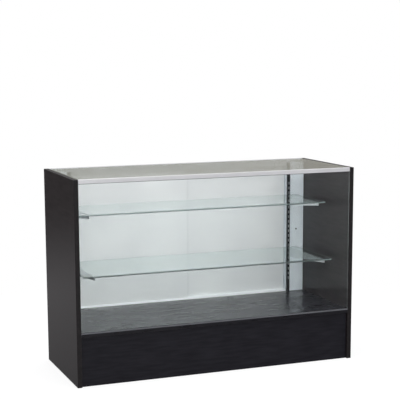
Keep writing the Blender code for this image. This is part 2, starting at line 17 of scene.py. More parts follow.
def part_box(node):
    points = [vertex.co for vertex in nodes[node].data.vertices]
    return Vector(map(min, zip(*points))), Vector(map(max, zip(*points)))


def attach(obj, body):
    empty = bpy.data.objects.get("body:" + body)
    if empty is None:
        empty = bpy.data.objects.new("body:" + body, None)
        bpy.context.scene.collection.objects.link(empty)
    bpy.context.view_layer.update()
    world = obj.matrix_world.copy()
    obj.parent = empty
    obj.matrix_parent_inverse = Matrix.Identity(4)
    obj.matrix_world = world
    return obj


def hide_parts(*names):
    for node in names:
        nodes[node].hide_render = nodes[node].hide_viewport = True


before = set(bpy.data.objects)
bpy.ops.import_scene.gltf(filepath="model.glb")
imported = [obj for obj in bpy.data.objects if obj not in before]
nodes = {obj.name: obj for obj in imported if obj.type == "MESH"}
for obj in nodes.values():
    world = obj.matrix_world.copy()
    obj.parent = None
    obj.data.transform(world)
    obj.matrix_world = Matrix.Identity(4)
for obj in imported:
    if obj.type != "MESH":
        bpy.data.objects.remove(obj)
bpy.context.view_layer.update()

# %% [markdown]
# ## A short way to write shader nodes
# A shader tree is a lot of small nodes and links, and written out it hides what
# it is for. An input is either a plain value or the output of another node, so
# one helper takes care of both, and another one adds a node together with its
# settings and all its inputs. The cells below then read like recipes.

# %% Nodes


def connect(tree, socket, value):
    """Feed a socket from another node's output, or set it to a plain value."""
    if isinstance(value, bpy.types.NodeSocket):
        tree.links.new(value, socket)
    else:
        socket.default_value = value


def node(tree, kind, inputs=None, **settings):
    """Add a shader node, with its settings and its inputs."""
    made = tree.nodes.new("ShaderNode" + kind)
    for name, value in settings.items():
        setattr(made, name, value)
    for name, value in (inputs or {}).items():
        connect(tree, made.inputs[name], value)
    return made


# %% [markdown]
# ## Sums, ramps and places
# Every pattern is worked out from where a point is or which way it looks. One
# helper gives the coordinates. The others turn them into what a shader needs: a
# sum, a product, a value that swings between two limits, or a ramp that runs
# from one value to another over a given stretch of metres.

# %% Sums and ramps


def sums(tree, operation, first, second=0.0, third=0.0):
    """One Math node, and its result."""
    return node(tree, "Math", {0: first, 1: second, 2: third}, operation=operation).outputs[0]


def times(tree, first, second):
    """Two values multiplied: a mask made weaker, or two masks that must both hold."""
    return sums(tree, "MULTIPLY", first, second)


def between(tree, share, low, high):
    """A value that goes from low to high while a share goes from 0 to 1."""
    return sums(tree, "MULTIPLY_ADD", share, high - low, low)


def ramp(tree, value, start, end, first=0.0, last=1.0):
    """A value that goes from first to last while another goes from start to end."""
    limits = {"From Min": start, "From Max": end, "To Min": first, "To Max": last}
    return node(tree, "MapRange", {"Value": value, **limits}).outputs[0]


def vector_sums(tree, operation, first, second=(0.0, 0.0, 0.0)):
    """One Vector Math node. A length or a dot product is a value, all else a vector."""
    made = node(tree, "VectorMath", {0: first, 1: second}, operation=operation)
    return made.outputs["Value" if operation in ("LENGTH", "DOT_PRODUCT") else "Vector"]


def coordinates(tree, kind="Object"):
    """Where a point is, in metres, or which way it looks, as three values."""
    return node(tree, "SeparateXYZ", {0: node(tree, "TexCoord").outputs[kind]}).outputs


# %% [markdown]
# ## Colours as they look
# Colours are written as they look on a screen, 0 to 255, because that is how
# one reads them off a real surface. Blender's sockets want light instead, so a
# helper turns one into the other. The second helper mixes two colours, which
# is behind every drift of tone below, and the third one weighs two patterns
# against each other first.

# %% Colours


def seen(red, green, blue):
    """A screen colour, 0 to 255 each, as linear light with full alpha."""
    light = []
    for value in (red, green, blue):
        share = value / 255
        light.append(share / 12.92 if share <= 0.04045 else ((share + 0.055) / 1.055) ** 2.4)
    return (*light, 1.0)


def blend(tree, factor, first, second):
    """The first colour where a factor is 0, the second where it is 1."""
    made = node(tree, "Mix", data_type="RGBA")
    for place, value in ((0, factor), (6, first), (7, second)):
        connect(tree, made.inputs[place], value)
    return made.outputs[2]


def weigh(tree, first, first_weight, second, second_weight):
    """Two patterns added up, each with its own weight."""
    return sums(tree, "MULTIPLY_ADD", first, first_weight, times(tree, second, second_weight))


print("a screen's 128 is", round(seen(128, 128, 128)[0], 3), "of full light")

# %% [markdown]
# ## A material in three steps
# Every finish is made alike. A material is started, its Principled shader is
# fed with a colour, a roughness and a fine relief, and it is handed to the
# pieces that wear it. The relief is a Bump node: it tilts the shading as if the
# surface rose and fell by a depth given in metres, without one extra face. That
# is right for grain and brush marks, whose outline nobody sees.

# %% Materials


def shader(name):
    """A new material, its tree and its Principled shader."""
    material = bpy.data.materials.new(name)
    material.use_nodes = True
    return material, material.node_tree, material.node_tree.nodes["Principled BSDF"]


def finish(tree, surface, colour, roughness, relief=None, strength=0.0, depth=0.0):
    """Feed a shader its colour and roughness, and its relief if it has one."""
    connect(tree, surface.inputs["Base Color"], colour)
    connect(tree, surface.inputs["Roughness"], roughness)
    if relief is not None:
        bump = node(tree, "Bump", {"Strength": strength, "Distance": depth, "Height": relief})
        connect(tree, surface.inputs["Normal"], bump.outputs[0])


def dress(material, names):
    """Give solids of the model a material."""
    for name in names:
        slots = nodes[name].data.materials
        slots.clear()
        slots.append(material)
    print(material.name, "on", len(names))


# %% [markdown]
# ## A shared effect: mottle
# Soft blotches are under nearly every finish here: clouds in metal, grain in
# laminate, smudges on glass. Such an effect is a node group, built once, with
# named sockets for its size, stretch and detail, and each material places it
# with its own values. It reads Object coordinates. The solids all sit at the
# origin, so these are real metres, and a pattern that is 2 mm wide on one piece
# is 2 mm wide on every other. Noise stays close to its middle, so its range is
# spread out to run from 0 to 1.

# %% Node group: mottle


def new_group(name, inputs, outputs):
    """An empty node group with named sockets, and its two end nodes."""
    group = bpy.data.node_groups.new(name, "ShaderNodeTree")
    new_socket = group.interface.new_socket
    for label, kind, value in inputs:
        socket = new_socket(label, in_out="INPUT", socket_type="NodeSocket" + kind)
        socket.default_value = value
    for label, kind in outputs:
        new_socket(label, in_out="OUTPUT", socket_type="NodeSocket" + kind)
    start, end = group.nodes.new("NodeGroupInput"), group.nodes.new("NodeGroupOutput")
    return group, start.outputs, end.inputs


UNSTRETCHED = (1.0, 1.0, 1.0)
NOISE_RANGE = (0.3, 0.7)
mottle_group, given, result = new_group(
    "mottle",
    [("Size", "Float", 0.05), ("Stretch", "Vector", UNSTRETCHED), ("Detail", "Float", 4.0)],
    [("Value", "Float")],
)
place = node(mottle_group, "TexCoord").outputs["Object"]
squeezed = vector_sums(mottle_group, "DIVIDE", place, given["Stretch"])
per_metre = sums(mottle_group, "DIVIDE", 1.0, given["Size"])
inputs = {"Vector": squeezed, "Scale": per_metre, "Detail": given["Detail"]}
noise = node(mottle_group, "TexNoise", inputs).outputs[0]
connect(mottle_group, result["Value"], ramp(mottle_group, noise, *NOISE_RANGE))


def mottle(tree, size, stretch=UNSTRETCHED, detail=4.0):
    """Place the mottle group: soft blotches of a size in metres, from 0 to 1."""
    inputs = {"Size": size, "Stretch": stretch, "Detail": detail}
    return node(tree, "Group", inputs, node_tree=mottle_group).outputs["Value"]


print("mottle takes:", [socket.name for socket in given if socket.name])

# %% [markdown]
# ## A shared effect: worn edges
# The edges of a laminated board rub first: the arris turns a little lighter
# and duller. A board is a box, so the distance to its nearest edge follows from
# its two corners: on a face one of the three distances is nothing, and the
# middle one of the three is the way to the nearest edge. The group takes the
# corners, and a mottle breaks the line up.

# %% Node group: worn edges
BREAK_SIZE = 0.012
BREAK_RANGE = (0.2, 1.4)
wear_group, given, result = new_group(
    "worn_edges",
    [
        ("Low", "Vector", (0.0, 0.0, 0.0)),
        ("High", "Vector", (1.0, 1.0, 1.0)),
        ("Width", "Float", 0.002),
    ],
    [("Wear", "Float")],
)
place = node(wear_group, "TexCoord").outputs["Object"]
from_low = vector_sums(wear_group, "SUBTRACT", place, given["Low"])
from_high = vector_sums(wear_group, "SUBTRACT", given["High"], place)
nearest = vector_sums(wear_group, "MINIMUM", from_low, from_high)
apart = node(wear_group, "SeparateXYZ", {0: nearest}).outputs
smaller = sums(wear_group, "MINIMUM", apart[0], apart[1])
larger = sums(wear_group, "MAXIMUM", apart[0], apart[1])
middle = sums(wear_group, "MAXIMUM", smaller, sums(wear_group, "MINIMUM", larger, apart[2]))
broken = between(wear_group, mottle(wear_group, BREAK_SIZE, detail=6.0), *BREAK_RANGE)
reach = times(wear_group, given["Width"], broken)
connect(wear_group, result["Wear"], ramp(wear_group, middle, 0.0, reach, 1.0, 0.0))


def worn_edges(tree, name, width):
    """Place the worn edges group for one box-shaped solid."""
    low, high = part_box(name)
    inputs = {"Low": low, "High": high, "Width": width}
    return node(tree, "Group", inputs, node_tree=wear_group).outputs["Wear"]


print("worn edges take:", [socket.name for socket in given if socket.name])

# %% [markdown]
# ## Black laminate
# The panels, the deck and the base are particle board under a near-black
# laminate. It isn't a flat black: a fine pressed grain catches the light, the
# tone drifts a little, and the arrises are rubbed. Grain runs along the board,
# so the mottle is stretched one way. The narrow faces of the end panels have an
# edge band, darker and duller than the rest. It is found by the normals, as
# only the broad faces look sideways. Each board gets its own copy of the
# material, because the wear needs that board's corners.

# %% Black laminate
BASE_TONES = (seen(23, 22, 28), seen(37, 36, 42))
DECK_TONES = (seen(15, 14, 19), seen(26, 25, 31))
PANEL_TONES = (seen(19, 15, 16), seen(47, 42, 43))
RUBBED_TONE = seen(70, 66, 70)
RUBBED_SHARE, RUBBED_DULLING = 0.55, 0.15
BAND_TONE = seen(12, 10, 13)
BAND_SHARE, BAND_DULLING = 0.45, 0.28
GRAIN_ALONG = 9.0
GRAIN_SIZE, GRAIN_WEIGHT = 0.0012, 0.2
DRIFT_SIZE, DRIFT_WEIGHT = 0.012, 0.8
ROUGHNESS_SWING = 0.015
ARRIS_WIDTH = 0.0016


def laminate(name, grain_axis, tones, roughness=0.5, ior=1.25, banded=False):
    """Near-black laminate for one board, its grain along an axis (0, 1 or 2)."""
    material, tree, surface = shader("black_laminate_" + name)
    stretch = [GRAIN_ALONG if axis == grain_axis else 1.0 for axis in range(3)]
    grain = mottle(tree, GRAIN_SIZE, stretch, detail=3.0)
    drift = mottle(tree, DRIFT_SIZE, stretch)
    wear = worn_edges(tree, name, ARRIS_WIDTH)
    tone = blend(tree, weigh(tree, grain, GRAIN_WEIGHT, drift, DRIFT_WEIGHT), *tones)
    tone = blend(tree, times(tree, wear, RUBBED_SHARE), tone, RUBBED_TONE)
    dulling = times(tree, wear, RUBBED_DULLING)
    if banded:
        sideways = sums(tree, "ABSOLUTE", coordinates(tree, "Normal")[0])
        band = sums(tree, "LESS_THAN", sideways, 0.5)
        tone = blend(tree, times(tree, band, BAND_SHARE), tone, BAND_TONE)
        dulling = sums(tree, "MAXIMUM", times(tree, band, BAND_DULLING), dulling)
    dull = between(tree, drift, roughness - ROUGHNESS_SWING, roughness + ROUGHNESS_SWING)
    rough = sums(tree, "ADD", dull, dulling)
    finish(tree, surface, tone, rough, grain, strength=0.1, depth=0.00001)
    surface.inputs["IOR"].default_value = ior
    dress(material, [name])


for board in ("left_end_panel", "right_end_panel"):
    laminate(board, 1, PANEL_TONES, roughness=0.34, ior=1.38, banded=True)
for board in ("front_base_panel", "rear_base_panel"):
    laminate(board, 0, BASE_TONES)
laminate("deck", 0, DECK_TONES, roughness=0.28, ior=1.50)

# %% [markdown]
# ## Bare particle board
# Inside the base nobody looks, so the cleats and blocks are left raw. Pressed
# chips are flat flakes of many tones: a Voronoi texture gives each cell a
# random tone, squashed so that the flakes lie in the board. A broad mottle
# lets the flakes fade into the board's dust here and there.

# %% Bare particle board
RAW_WORDS = ("cleat", "block", "deck_support")
RAW_BOARDS = [name for name in nodes if any(word in name for word in RAW_WORDS)]
CHIPS_PER_METRE = 420.0
CHIP_SQUASH = (1.0, 1.0, 2.2)
CHIP_TONES = (seen(150, 120, 84), seen(202, 178, 140))
BOARD_DUST = seen(176, 150, 112)

material, tree, surface = shader("raw_board")
place = node(tree, "TexCoord").outputs["Object"]
lying = vector_sums(tree, "MULTIPLY", place, CHIP_SQUASH)
chips = node(tree, "TexVoronoi", {"Vector": lying, "Scale": CHIPS_PER_METRE}).outputs
random_tone = node(tree, "SeparateXYZ", {0: chips["Color"]}).outputs[0]
chip_tone = blend(tree, random_tone, *CHIP_TONES)
tone = blend(tree, mottle(tree, size=0.05), chip_tone, BOARD_DUST)
finish(tree, surface, tone, 0.85, chips["Distance"], strength=0.5, depth=0.0003)
dress(material, RAW_BOARDS)

# %% [markdown]
# ## Extruded aluminium
# Rails and tracks are extrusions: the die leaves fine lines along the length,
# and the skin is pale and satin. The lines are a mottle drawn out 400 times
# along the piece. They turn the roughness as well as the colour, which is what
# makes a highlight look drawn out too. The front rail and the door track are
# anodised, and the rear rail and the upper track are greyer, as they come from
# the mill. The lowest millimetre of the front rail is painted dark, as a fine
# dark line along its foot. The lowest millimetre of the front rail is dark: it
# stands for the lip of the seal, which is too thin to be a piece of its own.

# %% Extruded aluminium
RAIL_TONES = (seen(212, 211, 214), seen(225, 224, 226))
TRACK_TONES = (seen(242, 242, 243), seen(250, 250, 251))
MILL_TONES = (seen(176, 176, 178), seen(190, 190, 192))
DIE_LINES = (400.0, 1.0, 1.0)
FOOT_LINE_HEIGHT = 0.0013
FOOT_LINE_TONE = seen(92, 92, 94)


def extruded(name, tones, roughness, metallic, foot_line_top=None):
    """Satin metal with die lines along X, and a dark line painted below a height."""
    material, tree, surface = shader(name)
    lines = mottle(tree, size=0.0011, stretch=DIE_LINES, detail=2.0)
    clouds = mottle(tree, size=0.09, detail=5.0)
    tone = blend(tree, weigh(tree, lines, 0.5, clouds, 0.5), *tones)
    # Below the given height the tone is painted dark: a fine line along the foot.
    if foot_line_top:
        foot_line = sums(tree, "LESS_THAN", coordinates(tree)[2], foot_line_top)
        tone = blend(tree, foot_line, tone, FOOT_LINE_TONE)
    rough = between(tree, lines, roughness - 0.05, roughness + 0.05)
    finish(tree, surface, tone, rough, lines, strength=0.15, depth=0.00006)
    surface.inputs["Metallic"].default_value = metallic
    return material


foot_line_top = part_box("front_top_rail")[0].z + FOOT_LINE_HEIGHT
front_skin = extruded(
    "anodised_front", RAIL_TONES, roughness=0.55, metallic=0.35, foot_line_top=foot_line_top)
track_skin = extruded("anodised_track", TRACK_TONES, roughness=0.45, metallic=0.1)
mill_skin = extruded("mill_aluminium", MILL_TONES, roughness=0.55, metallic=0.35)
dress(front_skin, ["front_top_rail"])
dress(track_skin, ["bottom_door_track"])
dress(mill_skin, ["rear_top_rail", "top_door_track"])

# %% [markdown]
# ## The posts
# The posts are wide tubes of the same metal with a duller, mottled skin: pale
# grey, with cloudy patches a few centimetres across and a fine grain. They
# reflect so broadly that they read almost as paint, so they are hardly metal to
# the shader. Their fronts are darkened by painted shade on both sides of each
# standard, which stands proud of them, and none lies behind it. The shade is
# placed by the distance from the post's inner edge, which makes the two posts
# mirror images.

# %% Post metal
POST_TONES = (seen(229, 234, 240), seen(241, 246, 250))
STANDARD_SHADE_TONE = seen(176, 179, 184)
SHADE_AT_POST_EDGE, SHADE_DEEPENS_BY = 0.45, 0.003
SHADE_FADES_OUT = (0.0175, 0.024)
POST_FRONT = 0.024
STANDARD_MIDDLE, STANDARD_COVERS = 0.01225, 0.0056

material, tree, surface = shader("post_metal")
patches = mottle(tree, size=0.035, stretch=(1.0, 1.0, 1.8), detail=6.0)
specks = mottle(tree, size=0.0045, detail=2.0)
skin = blend(tree, weigh(tree, patches, 0.6, specks, 0.4), *POST_TONES)
inner_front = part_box("right_post")[0]
place = coordinates(tree)
from_edge = sums(tree, "SUBTRACT", sums(tree, "ABSOLUTE", place[0]), inner_front.x)
near = ramp(tree, from_edge, 0.0, SHADE_DEEPENS_BY, SHADE_AT_POST_EDGE, 1.0)
far = ramp(tree, from_edge, *SHADE_FADES_OUT, 1.0, 0.0)
covered = sums(tree, "COMPARE", from_edge, STANDARD_MIDDLE, STANDARD_COVERS)
uncovered = sums(tree, "SUBTRACT", 1.0, covered)
on_front = sums(tree, "LESS_THAN", place[1], inner_front.y + POST_FRONT)
# Painted shade on the post's front beside each standard, none behind it.
painted_shade = times(tree, on_front, times(tree, times(tree, near, far), uncovered))
tone = blend(tree, painted_shade, skin, STANDARD_SHADE_TONE)
rough = between(tree, specks, 0.44, 0.56)
finish(tree, surface, tone, rough, specks, strength=0.2, depth=0.0001)
surface.inputs["Metallic"].default_value = 0.1
dress(material, ["left_post", "right_post"])

# %% [markdown]
# ## Zinc plate
# Brackets, corner angles and screws are steel with a bright zinc plate. Zinc
# shows faint crystals and the brush marks of the steel below. The crystals are
# Voronoi cells, whose random tones turn colour and roughness from patch to
# patch. Where a mesh carries a mark called recess, the plate is painted dark,
# as shade in the recess, and a mesh without that mark stays plain. The screws
# in the posts get a darker plate.

# %% Zinc plate
ZINC_PIECES = [name for name in nodes if "bracket" in name or "corner_angle" in name]
CRYSTALS_PER_METRE = 420.0
BRUSHED_ALONG = (1.0, 60.0, 1.0)
ZINC_TONES = (seen(206, 209, 211), seen(238, 240, 240))
DARK_ZINC_TONES = (seen(96, 98, 100), seen(128, 130, 131))
RECESS_SHADE_TONE = seen(26, 25, 24)


def zinc_plate(name, dark, bright):
    """Plated steel: faint crystals over brush marks, and painted shade in marked recesses."""
    material, tree, surface = shader(name)
    place = node(tree, "TexCoord").outputs["Object"]
    crystals = node(tree, "TexVoronoi", {"Vector": place, "Scale": CRYSTALS_PER_METRE})
    facets = node(tree, "SeparateXYZ", {0: crystals.outputs["Color"]}).outputs
    brushed = mottle(tree, size=0.0009, stretch=BRUSHED_ALONG, detail=2.0)
    plate = blend(tree, weigh(tree, facets[0], 0.08, brushed, 0.6), dark, bright)
    # Painted shade: faces marked as recess take a near-black tone.
    recess_shade = node(tree, "Attribute", attribute_name="recess").outputs["Fac"]
    tone = blend(tree, recess_shade, plate, RECESS_SHADE_TONE)
    rough = between(tree, facets[1], 0.28, 0.30)
    finish(tree, surface, tone, rough, brushed, strength=0.1, depth=0.00003)
    surface.inputs["Metallic"].default_value = 1.0
    return material


dress(zinc_plate("zinc_plate", *ZINC_TONES), ZINC_PIECES)
# The screws in the posts get a darker copy of the plate.
dark_zinc = zinc_plate("dark_zinc", *DARK_ZINC_TONES)

# %% [markdown]
# ## Black paint
# The standards and the two side rails of the top frame have a black powder
# coat, whose skin is a little like orange peel. A standard is an open-backed
# channel, and its slots read as light dashes on the black: the inside of the
# channel is painted near white, as painted light that shows through the slots.
# That inside is picked by place: all that lies between the two side walls and
# behind the front face.

# %% Black paint
PAINT_TONES = (seen(20, 20, 22), seen(32, 32, 34))
SLOT_LIGHT_TONE = seen(250, 251, 252)
SIDE_WALL, FRONT_SKIN = 0.0008, 0.0003

black_paint, tree, surface = shader("black_paint")
peel = mottle(tree, size=0.0014, detail=1.0)
drift = mottle(tree, size=0.06)
low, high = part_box("right_standard")
place = coordinates(tree)
from_centre = sums(tree, "ABSOLUTE", place[0])
off_middle = sums(tree, "ABSOLUTE", sums(tree, "SUBTRACT", from_centre, (low.x + high.x) / 2))
within = sums(tree, "LESS_THAN", off_middle, (high.x - low.x) / 2 - SIDE_WALL)
behind = sums(tree, "GREATER_THAN", place[1], low.y + FRONT_SKIN)
inside = times(tree, within, behind)
# Painted light: the channel's inside is near white, so the slots read as pale dashes.
tone = blend(tree, inside, blend(tree, drift, *PAINT_TONES), SLOT_LIGHT_TONE)
rough = between(tree, drift, 0.38, 0.50)
finish(tree, surface, tone, rough, peel, strength=0.3, depth=0.00008)
dress(black_paint, ["left_standard", "right_standard", "left_top_rail", "right_top_rail"])

# %% [markdown]
# ## The channel and the vinyl
# The front glass stands in a small channel, whose lip shows as a thin line
# along the deck's front edge. It is an extrusion again, in a darker grey. Black
# vinyl seals hold the glass at its foot and at its head. Vinyl is soft and has
# no grain, so a slight drift of tone and a dull skin are all that it shows.

# %% Channel metal and vinyl
CHANNEL_TONES = (seen(88, 89, 94), seen(106, 107, 112))
VINYL_TONES = (seen(26, 26, 27), seen(40, 40, 41))

channel_skin = extruded("channel_metal", CHANNEL_TONES, roughness=0.60, metallic=0.1)
dress(channel_skin, ["front_glass_channel"])
material, tree, surface = shader("black_vinyl")
drift = mottle(tree, size=0.03)
finish(tree, surface, blend(tree, drift, *VINYL_TONES), between(tree, drift, 0.55, 0.70))
dress(material, ["front_glass_head_seal", "front_glass_foot_seal"])

# %% [markdown]
# ## Glass
# Clear float glass is nearly colourless through its faces and green-grey along
# its edges, where one looks through far more of it. The faces are a smooth,
# fully transmissive Principled shader, with a trace of smudges. The edges are
# picked out by their normals: on a flat sheet they are all the faces that don't
# look out of the sheet. There the colour is that of thick glass, and the skin
# is ground. The shelves are a little greener than the rest. The edge of the
# front sheet is painted darkest, as painted shade from the two black seals it
# stands between.
# Light from lamps would stop at a bending shader, so for shadow rays the
# material is plain Transparent, and the inside of the case stays bright.

# %% Glass
GLASS_FACE = seen(252, 254, 254)
SHELF_FACE = seen(241, 250, 248)
TOP_EDGE = seen(186, 222, 214)
SHELF_EDGE = seen(200, 224, 223)
# The front sheet's edge tone is painted shade, darker than the other edges.
SHADED_FRONT_EDGE = seen(50, 66, 63)
LEVEL_SHEET, UPRIGHT_SHEET = (0.0, 0.0, 1.0), (0.0, 1.0, 0.0)
LOOKS_OUT = 0.9
SMUDGED, GROUND = 0.012, 0.4


def glass(name, out_of_sheet, face_tone, edge_tone, pieces):
    """Clear glass for sheets that all face along one direction."""
    material, tree, surface = shader(name)
    normal = node(tree, "TexCoord").outputs["Normal"]
    facing = sums(tree, "ABSOLUTE", vector_sums(tree, "DOT_PRODUCT", normal, out_of_sheet))
    edge = sums(tree, "LESS_THAN", facing, LOOKS_OUT)
    smudges = times(tree, mottle(tree, size=0.11, detail=5.0), SMUDGED)
    rough = sums(tree, "MAXIMUM", smudges, times(tree, edge, GROUND))
    finish(tree, surface, blend(tree, edge, face_tone, edge_tone), rough)
    surface.inputs["Transmission Weight"].default_value = 1.0
    surface.inputs["IOR"].default_value = 1.5
    clear = node(tree, "BsdfTransparent", {"Color": GLASS_FACE}).outputs[0]
    shadow = node(tree, "LightPath").outputs["Is Shadow Ray"]
    either = node(tree, "MixShader", {0: shadow, 1: surface.outputs[0], 2: clear})
    connect(tree, tree.nodes["Material Output"].inputs["Surface"], either.outputs[0])
    dress(material, pieces)


glass("glass_top", LEVEL_SHEET, GLASS_FACE, TOP_EDGE, ["top_glass"])
shelves = ["upper_shelf_glass", "lower_shelf_glass"]
glass("glass_shelf", LEVEL_SHEET, SHELF_FACE, SHELF_EDGE, shelves)
glass("glass_front", UPRIGHT_SHEET, GLASS_FACE, SHADED_FRONT_EDGE, ["front_glass"])

# %% [markdown]
# ## White melamine
# The doors are white melamine board: a neutral white with a faint pebbled skin,
# and edge bands whose arris shows as a soft line. The left door slides in front
# of the right one. Beside its edge, where both are closed, the right door is
# painted a faint grey, which fades out over a centimetre and lets the seam show
# from far off.

# %% White melamine
DOOR_TONES = (seen(206, 205, 206), seen(216, 215, 215))
DOOR_GREY = seen(172, 174, 174)
SEAM_GREY_SHARE, SEAM_GREY_STARTS = 0.20, -0.02
SEAM_GREY_FADES = (0.009, 0.022)


def melamine(name, seam_at=None):
    """White melamine for one door, a faint grey beside the other door's edge."""
    material, tree, surface = shader("white_melamine_" + name)
    pebble = mottle(tree, size=0.0016, detail=2.0)
    drift = mottle(tree, size=0.22, detail=3.0)
    arris = times(tree, worn_edges(tree, name, width=0.003), 0.5)
    tone = blend(tree, arris, blend(tree, drift, *DOOR_TONES), DOOR_GREY)
    if seam_at:
        past_edge = sums(tree, "SUBTRACT", coordinates(tree)[0], seam_at)
        grey = ramp(tree, past_edge, *SEAM_GREY_FADES, SEAM_GREY_SHARE, 0.0)
        # A faint grey is painted on the right door beside the left door's edge.
        seam_grey = times(tree, sums(tree, "GREATER_THAN", past_edge, SEAM_GREY_STARTS), grey)
        tone = blend(tree, seam_grey, tone, DOOR_GREY)
    rough = between(tree, drift, 0.36, 0.46)
    finish(tree, surface, tone, rough, pebble, strength=0.15, depth=0.00008)
    surface.inputs["Specular IOR Level"].default_value = 0.4
    dress(material, [name])


melamine("left_door")
melamine("right_door", seam_at=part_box("left_door")[1].x)

# %% [markdown]
# ## White plastic
# The finger pulls are moulded in white plastic. The mould's cup is eroded by
# sparks, which leaves a fine even grain. A small mottle makes that grain, and
# it feeds the roughness too, since a grained skin glints less in its pits.

# %% White plastic
PLASTIC_TONES = (seen(226, 226, 224), seen(236, 236, 234))

material, tree, surface = shader("white_plastic")
grain = mottle(tree, size=0.0009, detail=2.0)
tone = blend(tree, mottle(tree, size=0.03), *PLASTIC_TONES)
rough = between(tree, grain, 0.32, 0.44)
finish(tree, surface, tone, rough, grain, strength=0.2, depth=0.00006)
dress(material, ["left_door_pull", "right_door_pull"])

# %% [markdown]
# ## A screw's head
# The model's screws are plain round heads, and at arm's length one sees more. A
# pan head is a turned shape, so it is made as on a lathe: a few points from the
# crown down to the seat and back to the axis, joined by edges and spun once
# round. The spin leaves doubles on the axis, which are merged, and then the
# normals are made to look outwards. The shank stays hidden in its hole, so the
# head stands for the whole screw.

# %% Screw head
HEAD_RADIUS, HEAD_HEIGHT = 0.0045, 0.0024
HEAD_STEPS = 32
HEAD_PROFILE = (
    (0.0, 1.0), (0.45, 0.97), (0.72, 0.82), (0.9, 0.55), (0.98, 0.25), (1.0, 0.0), (0.0, 0.0))
MERGED_WITHIN = HEAD_HEIGHT / 200


def placed(shape, name):
    """A bmesh as an object of the scene."""
    mesh = bpy.data.meshes.new(name)
    shape.to_mesh(mesh)
    shape.free()
    made = bpy.data.objects.new(name, mesh)
    bpy.context.scene.collection.objects.link(made)
    return made


def turned_head():
    """A pan head along +Z, its seat at z = 0."""
    shape = bmesh.new()
    points = []
    for out, up in HEAD_PROFILE:
        points.append(shape.verts.new((HEAD_RADIUS * out, 0.0, HEAD_HEIGHT * up)))
    edges = [shape.edges.new(pair) for pair in zip(points, points[1:])]
    bmesh.ops.spin(
        shape, geom=points + edges, cent=(0, 0, 0), axis=(0, 0, 1),
        angle=2 * math.pi, steps=HEAD_STEPS, use_merge=True)
    bmesh.ops.remove_doubles(shape, verts=shape.verts, dist=MERGED_WITHIN)
    bmesh.ops.recalc_face_normals(shape, faces=shape.faces)
    return placed(shape, "screw_head")


plain_head = turned_head()
print("faces of a plain head:", len(plain_head.data.polygons))

# %% [markdown]
# ## The cross in its crown
# The driver's recess is two crossed slots that grow shorter towards their
# bottom. Two scaled cubes make that shape, and a Boolean modifier takes it out
# of the head, which is the surest way to cut through a round crown. The result
# is kept as a mesh, and the plain head and the cutter go.

# %% Screw recess
RECESS_REACH, RECESS_WIDTH, RECESS_DEPTH = 0.0029, 0.0017, 0.0019
RECESS_TAPER = 0.45


def cross_slots():
    """Two crossed slots, tapered downwards, at the height of the crown."""
    shape = bmesh.new()
    for turn in (0.0, math.pi / 2):
        slot = bmesh.ops.create_cube(shape, size=1.0)["verts"]
        length, depth = 2 * RECESS_REACH, 2 * RECESS_DEPTH
        bmesh.ops.scale(shape, vec=(length, RECESS_WIDTH, depth), verts=slot)
        for corner in slot:
            if corner.co.z < 0:
                corner.co.x *= RECESS_TAPER
        bmesh.ops.rotate(shape, verts=slot, matrix=Matrix.Rotation(turn, 3, "Z"))
    bmesh.ops.translate(shape, verts=shape.verts, vec=(0.0, 0.0, HEAD_HEIGHT))
    return placed(shape, "screw_recess")


def cut(piece, cutter):
    """The mesh of a piece with a cutter taken out of it. Both objects go."""
    taken_out = piece.modifiers.new("recess", "BOOLEAN")
    taken_out.object = cutter
    taken_out.solver = "EXACT"
    taken_out.use_self = True
    bpy.context.view_layer.update()
    evaluated = piece.evaluated_get(bpy.context.evaluated_depsgraph_get())
    mesh = bpy.data.meshes.new_from_object(evaluated)
    for helper in (piece, cutter):
        bpy.data.objects.remove(helper)
    return mesh


head_mesh = cut(plain_head, cross_slots())
print("faces with the recess:", len(head_mesh.polygons))

# %% [markdown]
# ## Painted shade in the recess, and creases
# The walls and the floor of the recess get the mark that the zinc plate paints
# dark, as shade. They are the faces near the axis that are steep or lie below the crown.
# Shading is then made smooth, so that the crown looks round, and kept sharp
# where two faces meet at more than the crease angle, as at the recess's rim.

# %% Marks and creases
STEEP = 0.6
BELOW_CROWN = HEAD_HEIGHT * 0.6
CREASE = math.radians(35)

recess = head_mesh.attributes.new("recess", "FLOAT", "FACE")
for face in head_mesh.polygons:
    inside = math.hypot(face.center.x, face.center.y) < RECESS_REACH
    sunk = abs(face.normal.z) < STEEP or face.center.z < BELOW_CROWN
    recess.data[face.index].value = float(inside and sunk)
head_mesh.shade_smooth()
head_mesh.set_sharp_from_angle(angle=CREASE)
print("marked faces:", sum(mark.value > 0.5 for mark in recess.data))

# %% [markdown]
# ## The screws in their places
# Every screw points backwards into a standard or a post, so the one mesh is
# copied, turned a quarter round X and moved to where each plain screw sits. The
# place goes into the mesh and the object stays at the origin, as with every
# other solid, so that materials and joints work alike on all of them.

# %% Screws in place
SCREWS = [name for name in nodes if "_screw" in name]
backwards = Matrix.Rotation(math.pi / 2, 4, "X")
for name in SCREWS:
    low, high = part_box(name)
    seat = Vector(((low.x + high.x) / 2, low.y + HEAD_HEIGHT, (low.z + high.z) / 2))
    mesh = head_mesh.copy()
    mesh.transform(Matrix.Translation(seat) @ backwards)
    mesh.materials.clear()
    mesh.materials.append(black_paint if "standard" in name else dark_zinc)
    head = bpy.data.objects.new(name + "_head", mesh)
    bpy.context.scene.collection.objects.link(head)
    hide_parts(name)
    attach(head, "case")
bpy.data.meshes.remove(head_mesh)
print("screws:", len(SCREWS))

